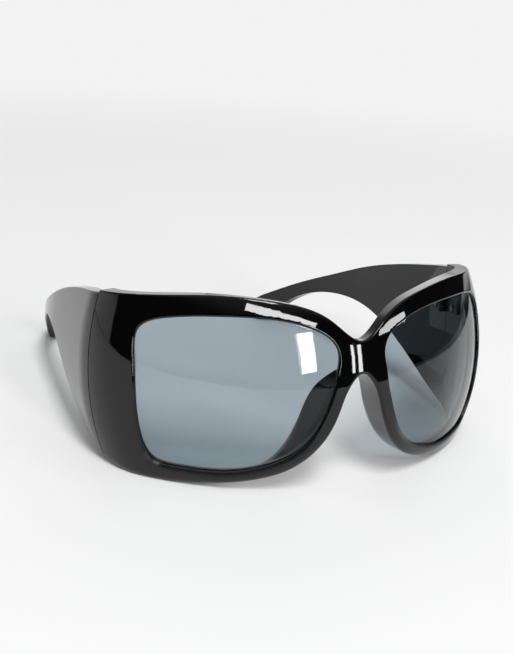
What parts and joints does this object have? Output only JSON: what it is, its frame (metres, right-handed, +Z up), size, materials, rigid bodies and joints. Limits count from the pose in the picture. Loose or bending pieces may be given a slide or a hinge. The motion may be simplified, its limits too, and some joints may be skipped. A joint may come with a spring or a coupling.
{
  "type": "oversized sunglasses",
  "caption": "Oversized wrap sunglasses: a thick glossy front with smoke lenses and moulded nose pads, and tall temples that fold inwards on screwed hinges.",
  "frame": {"origin": "on the table, under the middle of the box around the sunglasses standing open on their rims and temple tips", "axes": "-Y the way the front faces, +Y back along the temples, +X the wearer's left, +Z up"},
  "size_m": [0.1446, 0.1614, 0.0601],
  "materials": {
    "frame": "polished black",
    "lens": "smoke grey, see-through",
    "hinge": "satin",
    "screw": "turned"
  },
  "bodies": {
    "front": {"front_frame": "frame", "lens_right": "lens", "lens_left": "lens", "front_hinge_leaf_right": "hinge", "front_hinge_leaf_left": "hinge", "hinge_screw_right": "screw", "hinge_screw_left": "screw", "front_leaf_screws_right": "screw", "front_leaf_screws_left": "screw"},
    "left_temple": {"temple_left": "frame", "temple_hinge_leaf_left": "hinge", "temple_leaf_screws_left": "screw"},
    "right_temple": {"temple_right": "frame", "temple_hinge_leaf_right": "hinge", "temple_leaf_screws_right": "screw"}
  },
  "joints": [
    {"name": "left_temple_fold", "type": "hinge", "parent": "front", "child": "left_temple", "pos_m": [0.06092, -0.03105, 0.04236], "axis": [0, 0.171, 0.9853], "range_deg": [0, 90]},
    {"name": "right_temple_fold", "type": "hinge", "parent": "front", "child": "right_temple", "pos_m": [-0.06092, -0.03105, 0.04236], "axis": [0, -0.171, -0.9853], "range_deg": [0, 75]}
  ]
}
